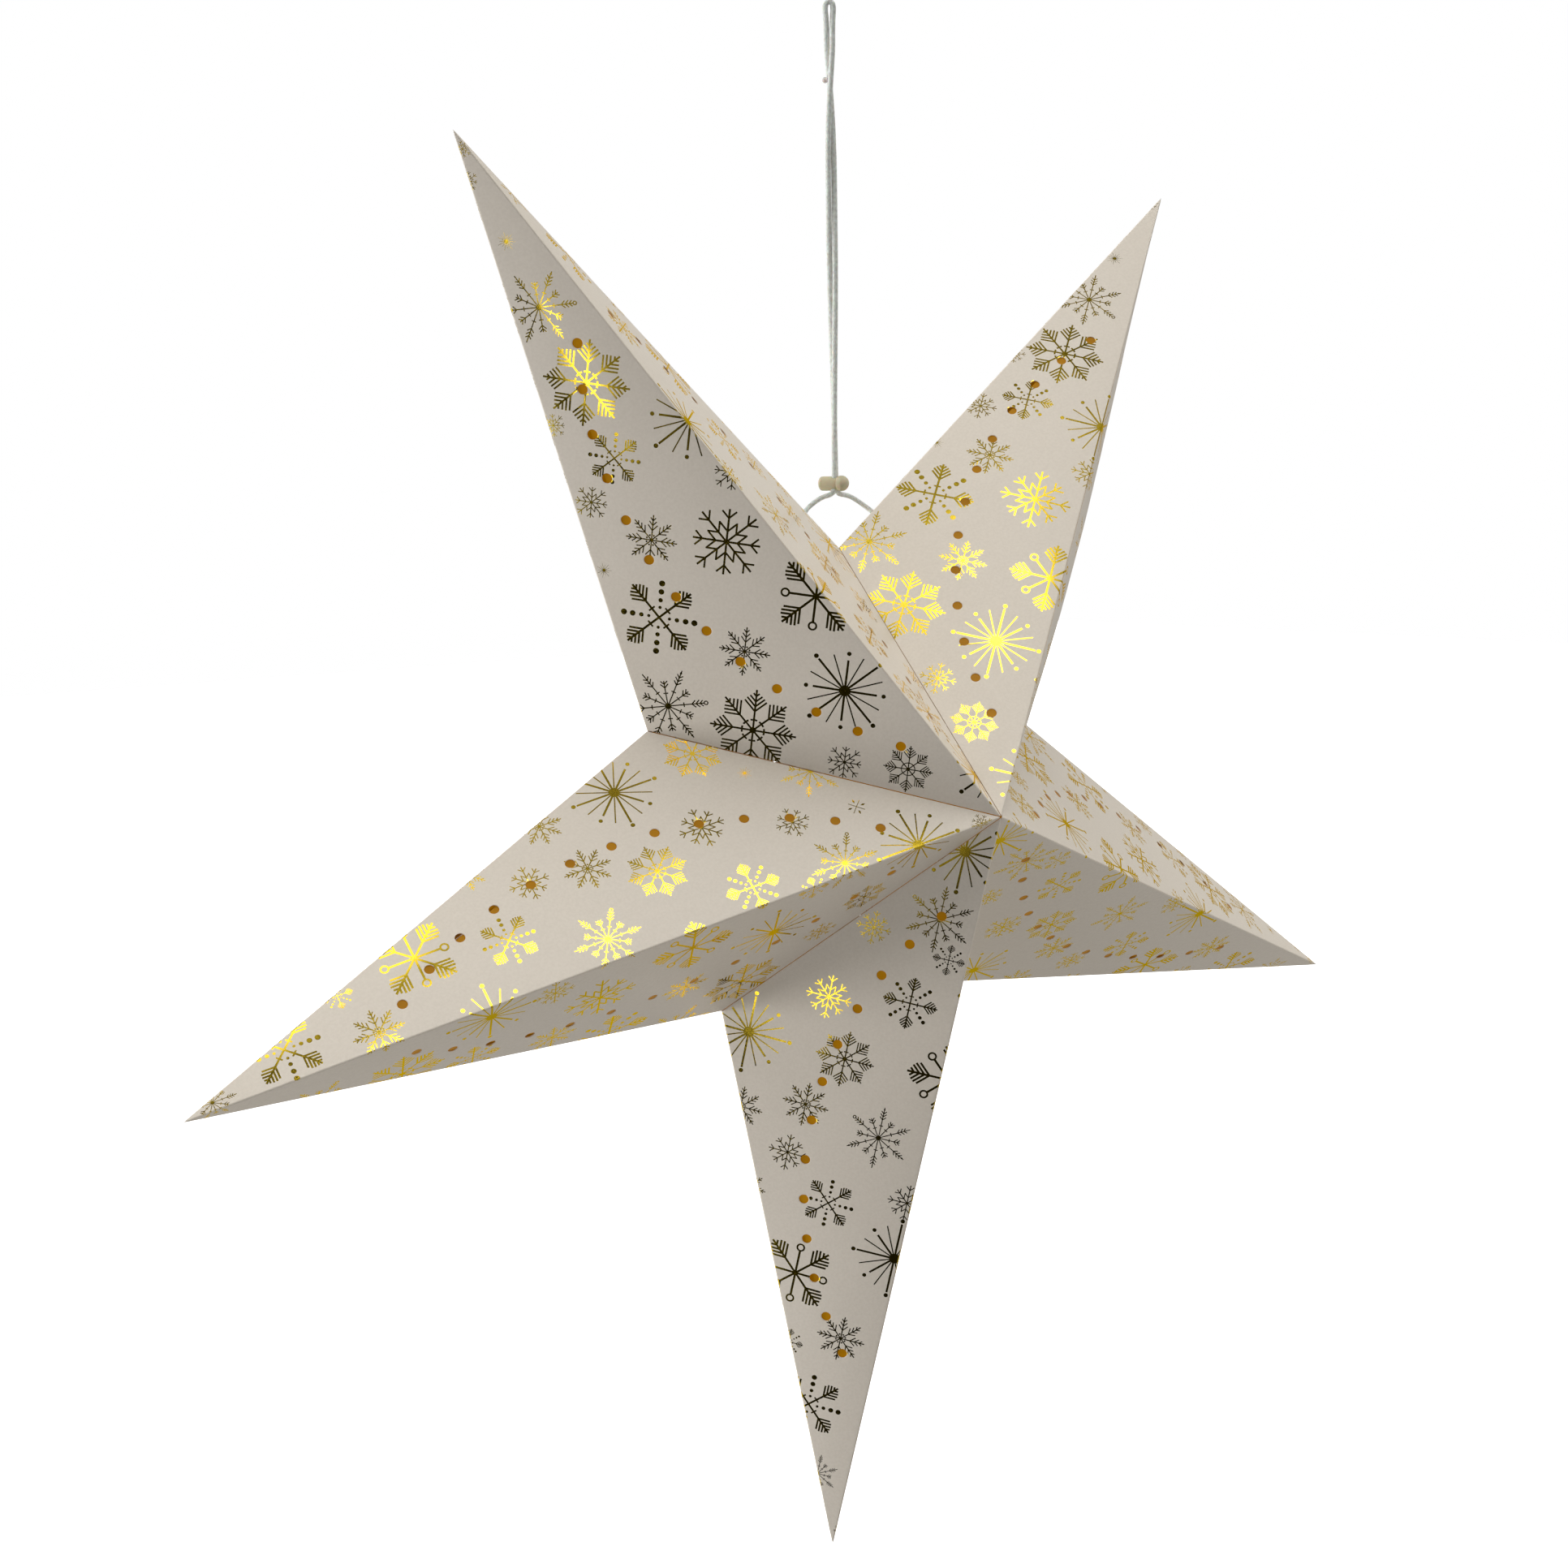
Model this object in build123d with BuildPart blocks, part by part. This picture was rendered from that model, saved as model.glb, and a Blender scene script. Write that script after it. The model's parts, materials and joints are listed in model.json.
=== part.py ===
from build123d import *
import os
from math import cos, pi, radians, sin, sqrt, tan

os.makedirs("parts", exist_ok=True)

# Five-pointed folded paper star that hangs from a doubled cord, one tip straight down.
# Frame: millimetres, +Z up, the front of the star towards -Y. The origin is the inside
# of the top of the hanging loop, where a hook carries the star.

# ---- driving dimensions ----
STAR_WIDTH = 600.0            # tip to tip, side to side
NOTCH_RADIUS = 102.0          # star centre to the valley between two arms
HALF_DEPTH = 98.0             # mid-plane to the front apex, and to the back apex
STAR_TURN = 1.8               # degrees that the star hangs clockwise, seen from the front
NOTCH_DROP = 216.0            # hanging point down to the top notch, where the cord enters
CARD = 0.4                    # card thickness
CREASE_GAP = 0.15             # each panel's edge stands this far back from the crease
RIDGE_BEVEL = 2.8             # ridge edges thin out over this width, so the arms can fold
EDGE_BEVEL = 0.35             # outer edges are mitred over this width
FILM = 0.15                   # thickness of the amber film behind the punched holes

ARMS = ("upper_left", "upper_right", "right", "bottom", "left")   # clockwise from the front
ARM_PITCH = 72.0
TIP_RADIUS = STAR_WIDTH / 2 / sin(radians(ARM_PITCH))
FACES = {"front": -1, "back": 1}      # which way the face's apex lies along Y
SIDES = {"ccw": -1, "cw": 1}          # which side of its arm a panel is on, from the front

# Punched holes: one row per panel, evenly spaced on an arc about a centre that lies
# across the ridge. Distances run from the apex along the ridge, then in from the ridge.
HOLE_COUNT = 13
HOLE_DIAMETER = 4.0
ARC_ALONG = 143.5
ARC_ACROSS = -116.0
ARC_RADIUS = 162.8
ARC_HALF_SPAN = 37.0          # degrees, from the middle hole to each end hole

# Film and glue tabs, set in from the panel's creases.
FILM_FROM_RIDGE = 8.0
FILM_FROM_EDGE = 15.0
FILM_FROM_SEAM = 13.5
TAB_WIDTH = 12.0
TAB_FROM_APEX = 36.0
TAB_FROM_NOTCH = 10.0

# Cord, its holes beside the open seam, its knots and its bead.
CORD = 2.3
CORD_ROOM = 0.5               # the bead's slot is this much longer and wider than the pair
CORD_HOLE = 4.0
CORD_HOLE_IN = 5.0            # in from the outer crease, on the back panel
CORD_HOLE_LEFT = 20.0         # from the notch, along the upper left arm's edge
CORD_HOLE_RIGHT = 26.0        # from the notch, along the upper right arm's edge
KNOT_RADIUS = 2.9
KNOT_HALF = 2.4               # half of a knot's thickness
KNOT_DEPTH = 9.0              # outer end of the left knot, in from the panel's outer face
KNOT_SPACE = 0.8              # between the film and the right knot
PAIR_TURN = 39.0              # degrees from +Y to the line through the two strands, at the bead
PAIR_OFFSET = 1.25            # each strand's centre, off the middle of the pair
LEAN_X = 0.0042               # how far the pair leans for each unit of height
LEAN_Y = -0.0033
BEAD_HEIGHT = -190.0
BARREL_RADIUS = 2.9           # the bead is a short barrel that runs into a ball
BALL_RADIUS = 3.17
BEAD_TURN = 20.0              # degrees that the bead's ball is turned to the front


def star_point(angle, radius, depth):
    """Point of the star, from its own centre: angle is clockwise from the top notch."""
    turn = radians(STAR_TURN)
    a = radians(angle) + turn
    centre_x = -NOTCH_RADIUS * sin(turn)
    centre_z = -NOTCH_DROP - NOTCH_RADIUS * cos(turn)
    return Vector(centre_x + radius * sin(a), depth, centre_z + radius * cos(a))


def arm_angle(number):
    """Angle of an arm's tip: the first arm is half a pitch before the top notch."""
    return (number - 0.5) * ARM_PITCH


def panel_frame(number, face, side):
    """Plane on a panel's outer face, its triangle's corners and its mirror sign.

    The plane's origin is the apex, its x axis runs down the ridge to the tip and its
    z axis points out of the star. The notch lies at +y or -y, by the sign.
    """
    apex = star_point(0, 0, FACES[face] * HALF_DEPTH)
    tip = star_point(arm_angle(number), TIP_RADIUS, 0)
    notch = star_point(arm_angle(number) + SIDES[side] * ARM_PITCH / 2, NOTCH_RADIUS, 0)
    ridge = (tip - apex).normalized()
    seam = notch - apex
    sign = SIDES[side] * FACES[face]
    outward = ridge.cross(seam).normalized() * sign
    along = seam.dot(ridge)
    across = sqrt(seam.dot(seam) - along ** 2)
    corners = [(0.0, 0.0), ((tip - apex).length, 0.0), (along, across)]
    return Plane(origin=apex, x_dir=ridge, z_dir=outward), corners, sign


def inset(corners, gaps):
    """Corners of a triangle whose sides move inward: ridge, outer edge, then seam."""
    lines = []
    for i, gap in enumerate(gaps):
        (x0, y0), (x1, y1) = corners[i], corners[(i + 1) % 3]
        length = sqrt((x1 - x0) ** 2 + (y1 - y0) ** 2)
        nx, ny = -(y1 - y0) / length, (x1 - x0) / length
        lines.append((nx, ny, nx * x0 + ny * y0 + gap))
    points = []
    for i in range(3):
        (a, b, c), (p, q, r) = lines[i - 1], lines[i]
        det = a * q - b * p
        points.append(((c * q - b * r) / det, (a * r - c * p) / det))
    return points


def mirrored(points, sign):
    """Points on the panel's own side of the ridge."""
    return [(x, sign * y) for x, y in points]


def hole_points():
    """Centres of the punched holes, in the panel's plane."""
    step = 2 * ARC_HALF_SPAN / (HOLE_COUNT - 1)
    angles = [radians(-ARC_HALF_SPAN + step * i) for i in range(HOLE_COUNT)]
    return [(ARC_ALONG + ARC_RADIUS * sin(a), ARC_ACROSS + ARC_RADIUS * cos(a)) for a in angles]


def cord_hole_point(corners, distance):
    """Centre of a cord hole: along the outer crease from the notch, then in from it."""
    (tx, ty), (nx, ny) = corners[1], corners[2]
    length = sqrt((tx - nx) ** 2 + (ty - ny) ** 2)
    ux, uy = (tx - nx) / length, (ty - ny) / length
    return (nx + distance * ux + CORD_HOLE_IN * uy, ny + distance * uy - CORD_HOLE_IN * ux)


CORD_HOLES = {("upper_left", "back", "cw"): CORD_HOLE_LEFT,
              ("upper_right", "back", "ccw"): CORD_HOLE_RIGHT}


# ---- the star's twenty card panels, four to an arm ----
def make_panel(number, face, side):
    plane, corners, sign = panel_frame(number, face, side)
    name = f"{ARMS[number]}_arm_{face}_{side}_panel"
    outer = inset(corners, (CREASE_GAP, CREASE_GAP, CREASE_GAP))
    inner = inset(corners, (CREASE_GAP + RIDGE_BEVEL, CREASE_GAP + EDGE_BEVEL, CREASE_GAP))
    holes = hole_points()
    cord_hole = CORD_HOLES.get((ARMS[number], face, side))
    with BuildPart() as panel:
        with BuildSketch(plane):
            Polygon(*mirrored(outer, sign), align=None)
        with BuildSketch(plane.offset(-CARD)):
            Polygon(*mirrored(inner, sign), align=None)
        loft(ruled=True)
        with BuildSketch(plane):
            with Locations(*mirrored(holes, sign)):
                Circle(HOLE_DIAMETER / 2)
            if cord_hole:
                with Locations(*mirrored([cord_hole_point(corners, cord_hole)], sign)):
                    Circle(CORD_HOLE / 2)
        extrude(amount=-CARD, mode=Mode.SUBTRACT)
    panel.part.label = name
    export_step(panel.part, f"parts/{name}.step")


# ---- amber film glued behind each panel's row of holes ----
def make_film(number, face, side):
    plane, corners, sign = panel_frame(number, face, side)
    name = f"{ARMS[number]}_arm_{face}_{side}_film"
    outline = inset(corners, (FILM_FROM_RIDGE, FILM_FROM_EDGE, FILM_FROM_SEAM))
    with BuildPart() as film:
        with BuildSketch(plane.offset(-CARD)):
            Polygon(*mirrored(outline, sign), align=None)
        extrude(amount=-FILM)
    film.part.label = name
    export_step(film.part, f"parts/{name}.step")


# ---- glue tabs: each clockwise seam's flap, stuck inside the next arm's panel ----
def make_tab(number, face):
    following = (number + 1) % len(ARMS)
    plane, corners, sign = panel_frame(following, face, "ccw")
    name = f"{ARMS[number]}_arm_{face}_glue_tab"
    ax, ay = corners[2]
    length = sqrt(ax ** 2 + ay ** 2)
    ux, uy = ax / length, ay / length
    start, end = TAB_FROM_APEX, length - TAB_FROM_NOTCH
    near, far = CREASE_GAP * 2, TAB_WIDTH
    outline = [(start, near), (end, near), (end - far / 2, far), (start + far, far)]
    points = [(s * ux + t * uy, s * uy - t * ux) for s, t in outline]
    with BuildPart() as tab:
        with BuildSketch(plane.offset(-CARD)):
            Polygon(*mirrored(points, sign), align=None)
        extrude(amount=-CARD)
    tab.part.label = name
    export_step(tab.part, f"parts/{name}.step")


for arm in range(len(ARMS)):
    for face_name in FACES:
        for side_name in SIDES:
            make_panel(arm, face_name, side_name)
            make_film(arm, face_name, side_name)
        if arm != 0:          # the seam after the first arm is the open one, held by the cord
            make_tab(arm, face_name)


# ---- cord: one length, from a knot in the upper left arm, up round the hanging loop ----
def cord_hole_on(number, side):
    """Middle of a cord hole on the panel's outer face, and the way out of the star."""
    plane, corners, sign = panel_frame(number, "back", side)
    distance = CORD_HOLES[(ARMS[number], "back", side)]
    (x, y), = mirrored([cord_hole_point(corners, distance)], sign)
    return plane.from_local_coords(Vector(x, y, 0)), plane.z_dir


def strand(z, turn, offset, which):
    """A point of one strand of the pair: which is -1 for the near one, +1 for the far."""
    a = radians(PAIR_TURN - turn)
    return Vector(LEAN_X * z + which * offset * sin(a), LEAN_Y * z + which * offset * cos(a), z)


LEFT_HOLE, LEFT_OUT = cord_hole_on(0, "cw")
RIGHT_HOLE, RIGHT_OUT = cord_hole_on(1, "ccw")
LEFT_KNOT = LEFT_HOLE - LEFT_OUT * KNOT_DEPTH

# heights of the pair's points, how far the pair is twisted there, and each strand's offset
PART_HEIGHT = BEAD_HEIGHT - BALL_RADIUS - 2.3      # the strands part just under the bead
LEFT_BEND = Vector(-7.2, 3.2, -195.6)
RIGHT_BEND = Vector(9.2, 3.8, -195.0)
LEFT_RISE = 4.5               # how far each strand stands out of its hole before it bends
RIGHT_RISE = 5.2
RIGHT_END = 0.5               # the right strand ends this far out of its hole
PAIR = [(-135.0, 0.0, PAIR_OFFSET), (-110.0, 60.0, 1.7), (-82.0, 90.0, 1.7),
        (-54.0, 118.0, 1.7), (-31.0, 180.0, 1.7), (-18.0, 235.0, 1.7), (-7.0, 262.0, 2.0)]
LOOP_TOP = (CORD / 2, 270.0, 2.5)

left_branch = [LEFT_KNOT, LEFT_HOLE + LEFT_OUT * LEFT_RISE, LEFT_BEND,
               strand(PART_HEIGHT, 0, PAIR_OFFSET, -1)]
right_branch = [strand(PART_HEIGHT, 0, PAIR_OFFSET, 1), RIGHT_BEND,
                RIGHT_HOLE + RIGHT_OUT * RIGHT_RISE, RIGHT_HOLE + RIGHT_OUT * RIGHT_END]
pair_up = [strand(*level, -1) for level in PAIR]
pair_down = [strand(*level, 1) for level in reversed(PAIR)]
loop = [strand(*LOOP_TOP, -1), strand(*LOOP_TOP, 1)]
route = left_branch + pair_up + loop + pair_down + right_branch

# each bend's radius is the largest that leaves a little straight run to the next bend
BEND_SHARE = 0.45
radii = []
for before, here, after in zip(route, route[1:], route[2:]):
    turned = radians((here - before).get_angle(after - here))
    shorter = min((here - before).length, (after - here).length)
    radii.append(BEND_SHARE * shorter / tan(turned / 2))

with BuildPart() as cord:
    with BuildLine() as cord_line:
        FilletPolyline(*route, radius=radii)
    with BuildSketch(Plane(origin=cord_line.line @ 0, z_dir=cord_line.line % 0)):
        Circle(CORD / 2)
    sweep()
cord.part.label = "hanging_cord"
export_step(cord.part, "parts/hanging_cord.step")
cord_length = cord_line.wire().length
print("cord length", round(cord_length, 1), "volume / (section x length)",
      round(cord.part.volume / (pi * CORD ** 2 / 4 * cord_length), 4))
print("cord radii", [round(r, 1) for r in radii])


# ---- knots that stop the cord inside the two upper arms ----
def make_knot(name, centre, outward):
    """A short round plug with well rounded ends, on the line of its hole."""
    across = outward.cross(Vector(0, 1, 0))
    with BuildPart() as knot:
        with BuildSketch(Plane(origin=centre, x_dir=across, z_dir=outward)):
            Circle(KNOT_RADIUS)
        extrude(amount=KNOT_HALF, both=True)
        fillet(knot.edges().filter_by(GeomType.CIRCLE), radius=KNOT_HALF * 0.6)
    knot.part.label = name
    export_step(knot.part, f"parts/{name}.step")


RIGHT_KNOT_DEPTH = CARD + FILM + KNOT_SPACE + KNOT_HALF
make_knot("left_cord_knot", LEFT_KNOT - LEFT_OUT * KNOT_HALF, LEFT_OUT)
make_knot("right_cord_knot", RIGHT_HOLE - RIGHT_OUT * RIGHT_KNOT_DEPTH, RIGHT_OUT)

# ---- melted cord end that seals the bottom of the hanging loop ----
SEAL_HEIGHT = -29.5
SEAL_RADIUS = 1.2
SEAL_OFFSET = 1.95
seal_turn = radians(PAIR_TURN)
seal_centre = Vector(LEAN_X * SEAL_HEIGHT - SEAL_OFFSET * cos(seal_turn),
                     LEAN_Y * SEAL_HEIGHT + SEAL_OFFSET * sin(seal_turn), SEAL_HEIGHT)
with BuildPart() as seal:
    with Locations(seal_centre):
        Sphere(SEAL_RADIUS)
seal.part.label = "loop_seal"
export_step(seal.part, "parts/loop_seal.step")

# ---- bead: a barrel and a ball on one axis, slotted across for both strands ----
BARREL_END = -6.65            # far end of the barrel, along the bead from the cord
BARREL_ROUNDING = 1.4
BALL_AT = 2.65                # centre of the ball, along the bead from the cord
GROOVE_RADIUS = 2.72          # at the bottom of the crease between the two
GROOVE_LIP = 0.4              # width of the barrel's slope into the crease
SLOT_WIDTH = CORD + CORD_ROOM
SLOT_LENGTH = 2 * PAIR_OFFSET + CORD + CORD_ROOM
bead_centre = Vector(LEAN_X * BEAD_HEIGHT, LEAN_Y * BEAD_HEIGHT, BEAD_HEIGHT)
bead_angle = radians(PAIR_TURN + BEAD_TURN)
bead_along = Vector(cos(bead_angle), -sin(bead_angle), 0)
bead_plane = Plane(origin=bead_centre, x_dir=bead_along, z_dir=bead_along.cross(Vector(0, 0, 1)))
groove_at = BALL_AT - sqrt(BALL_RADIUS ** 2 - GROOVE_RADIUS ** 2)
lip = (groove_at - GROOVE_LIP, BARREL_RADIUS)
groove = (groove_at, GROOVE_RADIUS)
barrel_end = (BARREL_END, 0)
ball_end = (BALL_AT + BALL_RADIUS, 0)
with BuildPart() as bead:
    with BuildSketch(bead_plane):
        with BuildLine():
            FilletPolyline(lip, (BARREL_END, BARREL_RADIUS), barrel_end, radius=BARREL_ROUNDING)
            Line(barrel_end, ball_end)
            ThreePointArc(ball_end, (BALL_AT, BALL_RADIUS), groove)
            Line(groove, lip)
        make_face()
    revolve(axis=Axis(origin=bead_centre, direction=bead_along))
    with BuildSketch(Plane.XY.offset(BEAD_HEIGHT)):
        with Locations((bead_centre.X, bead_centre.Y)):
            SlotOverall(SLOT_LENGTH, SLOT_WIDTH, rotation=90 - PAIR_TURN)
    extrude(amount=2 * BALL_RADIUS, both=True, mode=Mode.SUBTRACT)
bead.part.label = "cord_lock_bead"
export_step(bead.part, "parts/cord_lock_bead.step")
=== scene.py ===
"""Folded paper star on a doubled cord: the visual model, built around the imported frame."""
import json
from math import atan2, cos, degrees, pi, radians, sin, sqrt, tan

import bpy
import numpy as np
from mathutils import Matrix, Vector
from mathutils.geometry import delaunay_2d_cdt


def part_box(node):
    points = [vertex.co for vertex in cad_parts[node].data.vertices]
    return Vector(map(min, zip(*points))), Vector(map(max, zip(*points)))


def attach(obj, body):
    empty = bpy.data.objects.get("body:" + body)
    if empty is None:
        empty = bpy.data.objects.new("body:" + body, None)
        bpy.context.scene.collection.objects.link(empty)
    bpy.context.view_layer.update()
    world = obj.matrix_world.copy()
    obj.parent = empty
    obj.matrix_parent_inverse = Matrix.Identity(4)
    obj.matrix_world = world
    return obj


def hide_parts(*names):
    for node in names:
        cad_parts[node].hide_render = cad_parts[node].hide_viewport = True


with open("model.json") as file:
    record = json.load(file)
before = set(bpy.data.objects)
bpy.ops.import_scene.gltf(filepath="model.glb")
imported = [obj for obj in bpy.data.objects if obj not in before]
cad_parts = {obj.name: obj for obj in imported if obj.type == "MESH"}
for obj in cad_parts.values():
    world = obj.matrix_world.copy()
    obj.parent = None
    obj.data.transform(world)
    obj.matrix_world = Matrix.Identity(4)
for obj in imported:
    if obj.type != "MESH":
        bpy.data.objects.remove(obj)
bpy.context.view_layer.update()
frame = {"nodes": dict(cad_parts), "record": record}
scene = bpy.context.scene
MM = 0.001

# ---- the driving sizes, the same as the CAD's, in millimetres ----
STAR_WIDTH = 600.0            # tip to tip, side to side
NOTCH_RADIUS = 102.0          # star centre to the valley between two arms
HALF_DEPTH = 98.0             # mid-plane to each apex
STAR_TURN = 1.8               # degrees that the star hangs clockwise, seen from the front
NOTCH_DROP = 216.0            # hanging point down to the top notch
CARD = 0.4                    # card thickness
FILM = 0.15                   # amber film thickness
ARMS = ("upper_left", "upper_right", "right", "bottom", "left")
ARM_PITCH = 72.0
TIP_RADIUS = STAR_WIDTH / 2 / sin(radians(ARM_PITCH))
FACES = {"front": -1, "back": 1}
SIDES = {"ccw": -1, "cw": 1}
HOLE_COUNT = 13
HOLE_RADIUS = 2.0
ARC_ALONG = 143.5             # centre of the holes' arc, down the ridge and across it
ARC_ACROSS = -116.0
ARC_RADIUS = 162.8
ARC_HALF_SPAN = 37.0
CORD = 2.3
CORD_HOLE_IN = 5.0
CORD_HOLES = {("upper_left", "back", "cw"): 20.0, ("upper_right", "back", "ccw"): 26.0}

# ---- what only the visual model has ----
CREASE_RADIUS = 0.6           # outside radius of a fold
BOW = 1.2                     # how far the middle of a panel stands out of its flat plane
MORE_BOW = {("upper_right", "front", "cw"): 5.0}
WAVE = 0.07                   # height of the faint unevenness of a panel
RIM_WIDTH = 0.4               # the punch rolls the hole's rim in over this width
RIM_DROP = 0.07


# ---- camera ----
def add_camera():
    """The photographed view: a little above the star and well round to its left."""
    data = bpy.data.cameras.new("view_camera")
    data.lens = 69.07
    data.sensor_width = 36.0
    camera = bpy.data.objects.new("view_camera", data)
    scene.collection.objects.link(camera)
    forward = Vector((0.62651, 0.77134, -0.11190)).normalized()
    up = Vector((0.08610, 0.07419, 0.99352))
    across = forward.cross(up).normalized()
    up = across.cross(forward)
    turn = Matrix((across, up, -forward)).transposed()
    camera.matrix_world = Matrix.Translation((-0.79217, -0.93691, -0.17416)) @ turn.to_4x4()
    scene.camera = camera


add_camera()


# ---- node helpers ----
def new_material(name):
    material = bpy.data.materials.new(name)
    material.use_nodes = True
    tree = material.node_tree
    shader = next(n for n in tree.nodes if n.type == "BSDF_PRINCIPLED")
    return material, tree, shader


def set_sockets(shader, **values):
    """Sockets by their names, with _ for a space."""
    for key, value in values.items():
        name = key.replace("_", " ")
        if isinstance(value, tuple):
            value = (*value, 1.0)
        shader.inputs[name].default_value = value


def noise_ramp(tree, scale, low, high, detail=3.0, stretch=(1, 1, 1), at=(0.35, 0.65)):
    """Colour that wanders between two values with object-space noise."""
    place = tree.nodes.new("ShaderNodeTexCoord")
    mapping = tree.nodes.new("ShaderNodeMapping")
    mapping.inputs["Scale"].default_value = stretch
    noise = tree.nodes.new("ShaderNodeTexNoise")
    noise.inputs["Scale"].default_value = scale
    noise.inputs["Detail"].default_value = detail
    ramp = tree.nodes.new("ShaderNodeValToRGB")
    ramp.color_ramp.elements[0].position = at[0]
    ramp.color_ramp.elements[1].position = at[1]
    ramp.color_ramp.elements[0].color = (*low, 1.0)
    ramp.color_ramp.elements[1].color = (*high, 1.0)
    tree.links.new(place.outputs["Object"], mapping.inputs["Vector"])
    tree.links.new(mapping.outputs["Vector"], noise.inputs["Vector"])
    tree.links.new(noise.outputs["Fac"], ramp.inputs["Fac"])
    return ramp.outputs["Color"], noise.outputs["Fac"]


def add_bump(tree, shader, scale, distance, strength=1.0, detail=4.0):
    """Fine unevenness of the surface."""
    place = tree.nodes.new("ShaderNodeTexCoord")
    noise = tree.nodes.new("ShaderNodeTexNoise")
    noise.inputs["Scale"].default_value = scale
    noise.inputs["Detail"].default_value = detail
    bump = tree.nodes.new("ShaderNodeBump")
    bump.inputs["Distance"].default_value = distance
    bump.inputs["Strength"].default_value = strength
    tree.links.new(place.outputs["Object"], noise.inputs["Vector"])
    tree.links.new(noise.outputs["Fac"], bump.inputs["Height"])
    tree.links.new(bump.outputs["Normal"], shader.inputs["Normal"])


def grey(value):
    return (value, value, value)


def make_card(name, low, high, roughness):
    """Coated card: warm white, satin, with a faint fibre mottle."""
    material, tree, shader = new_material(name)
    colour, fac = noise_ramp(tree, 900.0, low, high)
    tree.links.new(colour, shader.inputs["Base Color"])
    rough, fac = noise_ramp(tree, 1400.0, grey(roughness - 0.04), grey(roughness + 0.04))
    tree.links.new(rough, shader.inputs["Roughness"])
    set_sockets(shader, IOR=1.5)
    add_bump(tree, shader, 2200.0, 0.00002, 0.5)
    return material


def make_foil():
    """Hot-stamped gold foil, with a little of the card's fibre showing through."""
    material, tree, shader = new_material("gold_foil")
    colour, fac = noise_ramp(tree, 1200.0, (0.90, 0.645, 0.04), (0.94, 0.695, 0.07))
    tree.links.new(colour, shader.inputs["Base Color"])
    rough, fac = noise_ramp(tree, 1600.0, grey(0.07), grey(0.13))
    tree.links.new(rough, shader.inputs["Roughness"])
    set_sockets(shader, Metallic=1.0, Specular_Tint=(1.0, 0.78, 0.30))
    add_bump(tree, shader, 1500.0, 0.00001, 0.3)
    return material


def make_film():
    """Amber film behind the holes, with a painted glow: a constant amber emission stands in for the
    light from inside the star that shows through it.
    """
    material, tree, shader = new_material("amber_film")
    colour, fac = noise_ramp(tree, 60.0, (0.20, 0.085, 0.0), (0.26, 0.115, 0.0))
    tree.links.new(colour, shader.inputs["Base Color"])
    # painted glow: the film's emission is painted light, standing in for light from inside the star
    # shining through the film
    painted_glow, fac = noise_ramp(tree, 60.0, (0.34, 0.145, 0.0), (0.40, 0.175, 0.0))
    tree.links.new(painted_glow, shader.inputs["Emission Color"])
    set_sockets(shader, Emission_Strength=0.45, Roughness=0.30, IOR=1.45, Specular_IOR_Level=0.2)
    return material


def make_fibre(name, low, high):
    """Polyester braid: glossy pale filaments lying along each strand."""
    material, tree, shader = new_material(name)
    colour, fac = noise_ramp(tree, 700.0, low, high)
    tree.links.new(colour, shader.inputs["Base Color"])
    set_sockets(shader, Roughness=0.42, IOR=1.5, Sheen_Weight=0.3, Sheen_Roughness=0.4,
                Subsurface_Weight=0.25, Subsurface_Scale=0.0008)
    add_bump(tree, shader, 5200.0, 0.00006, 0.6)
    return material


def make_plastic(name, low, high, roughness, scatter, through=0.0):
    material, tree, shader = new_material(name)
    colour, fac = noise_ramp(tree, 260.0, low, high)
    tree.links.new(colour, shader.inputs["Base Color"])
    set_sockets(shader, Roughness=roughness, IOR=1.49, Subsurface_Weight=scatter,
                Subsurface_Scale=0.0015, Transmission_Weight=through)
    add_bump(tree, shader, 900.0, 0.00003, 0.4)
    return material


card = make_card("coated_card", (0.80, 0.73, 0.65), (0.84, 0.77, 0.69), 0.34)
card_tab = make_card("bare_card", (0.76, 0.74, 0.70), (0.84, 0.82, 0.78), 0.62)
foil = make_foil()
film_plastic = make_film()
braid_fibre = make_fibre("braid_fibre", (0.78, 0.73, 0.69), (0.98, 0.95, 0.91))
core_fibre = make_fibre("core_fibre", (0.48, 0.46, 0.44), (0.58, 0.56, 0.54))
melt = make_plastic("melted_end", (0.72, 0.72, 0.70), (0.82, 0.82, 0.80), 0.22, 0.3, 0.35)
ivory = make_plastic("ivory_plastic", (0.58, 0.53, 0.375), (0.64, 0.59, 0.425), 0.40, 0.5)


# ---- the star's geometry ----
def star_point(angle, radius, depth):
    """Point of the star: angle is clockwise from the top notch, seen from the front."""
    turn = radians(STAR_TURN)
    a = radians(angle) + turn
    centre_x = -NOTCH_RADIUS * sin(turn)
    centre_z = -NOTCH_DROP - NOTCH_RADIUS * cos(turn)
    return Vector((centre_x + radius * sin(a), depth, centre_z + radius * cos(a)))


def panel_frame(number, face, side):
    """Matrix of a panel's own frame in millimetres, its triangle's corners and its sign.

    x runs down the ridge from the apex, z points out, and the notch is at +y or -y.
    """
    angle = (number - 0.5) * ARM_PITCH
    apex = star_point(0, 0, FACES[face] * HALF_DEPTH)
    tip = star_point(angle, TIP_RADIUS, 0)
    notch = star_point(angle + SIDES[side] * ARM_PITCH / 2, NOTCH_RADIUS, 0)
    ridge = (tip - apex).normalized()
    seam = notch - apex
    sign = SIDES[side] * FACES[face]
    outward = ridge.cross(seam).normalized() * sign
    across = outward.cross(ridge)
    along = seam.dot(ridge)
    corners = [(0.0, 0.0), ((tip - apex).length, 0.0), (along, seam.dot(across) * sign)]
    turn = Matrix((ridge, across, outward)).transposed().to_4x4()
    return Matrix.Translation(apex) @ turn, corners, sign


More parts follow.
